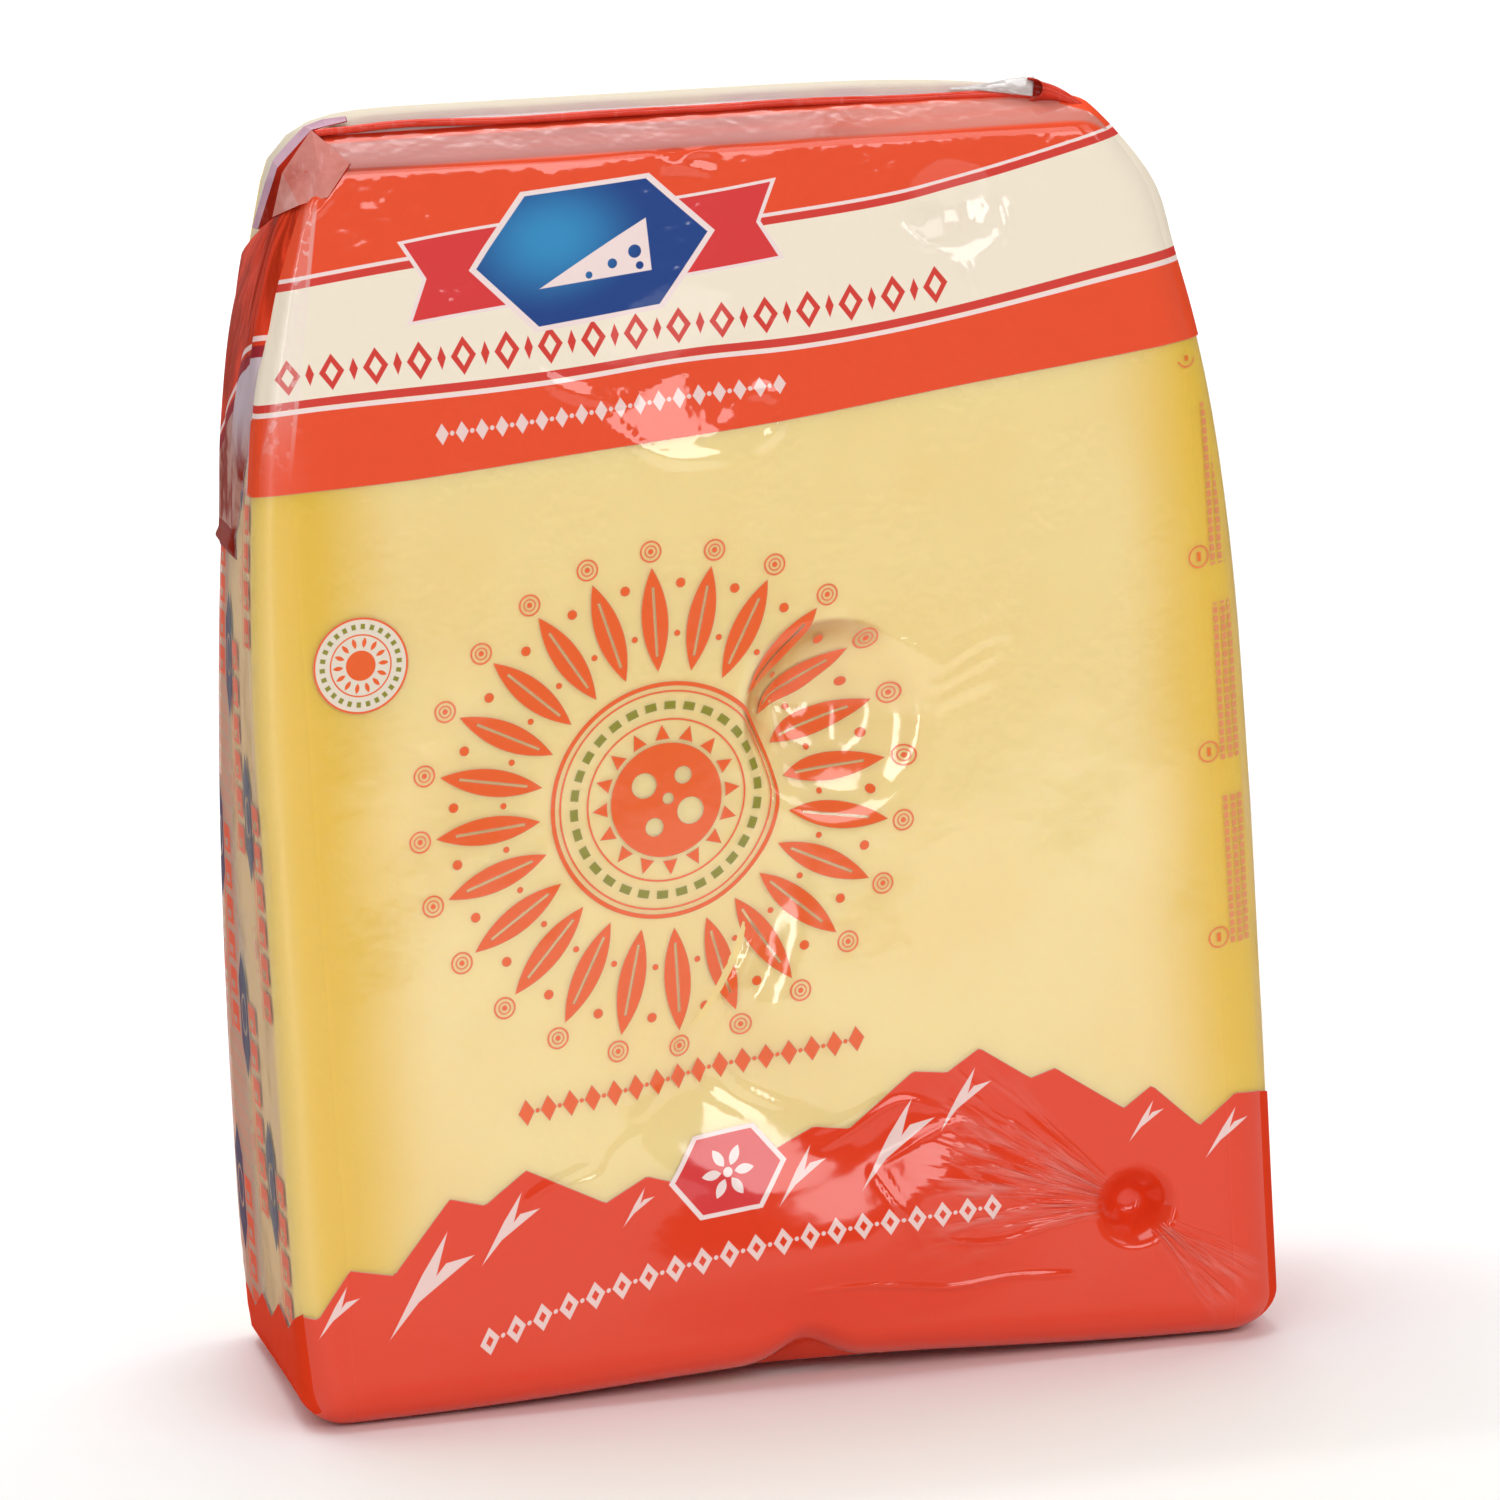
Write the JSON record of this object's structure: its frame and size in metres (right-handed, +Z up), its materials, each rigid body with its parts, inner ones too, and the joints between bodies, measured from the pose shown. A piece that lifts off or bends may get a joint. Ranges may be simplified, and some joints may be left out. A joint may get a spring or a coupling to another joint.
{
  "type": "film-wrapped cheese wedge",
  "caption": "Upright wedge-shaped block of hole cheese, shrink-wrapped in printed film, with soft hollows on its front and a seam along the rim.",
  "frame": {"origin": "middle of the flat base, on the surface that the block stands on", "axes": "+Z up to the rim, -Y out of the printed cut face with the hollows, +X to the right of someone who looks at that face"},
  "size_m": [0.237, 0.1182, 0.301],
  "materials": {
    "printed_film": "clear shrink film with red and cream print, tight over pale yellow cheese"
  },
  "bodies": {
    "root": {"cheese_wedge": "printed_film"}
  },
  "joints": []
}
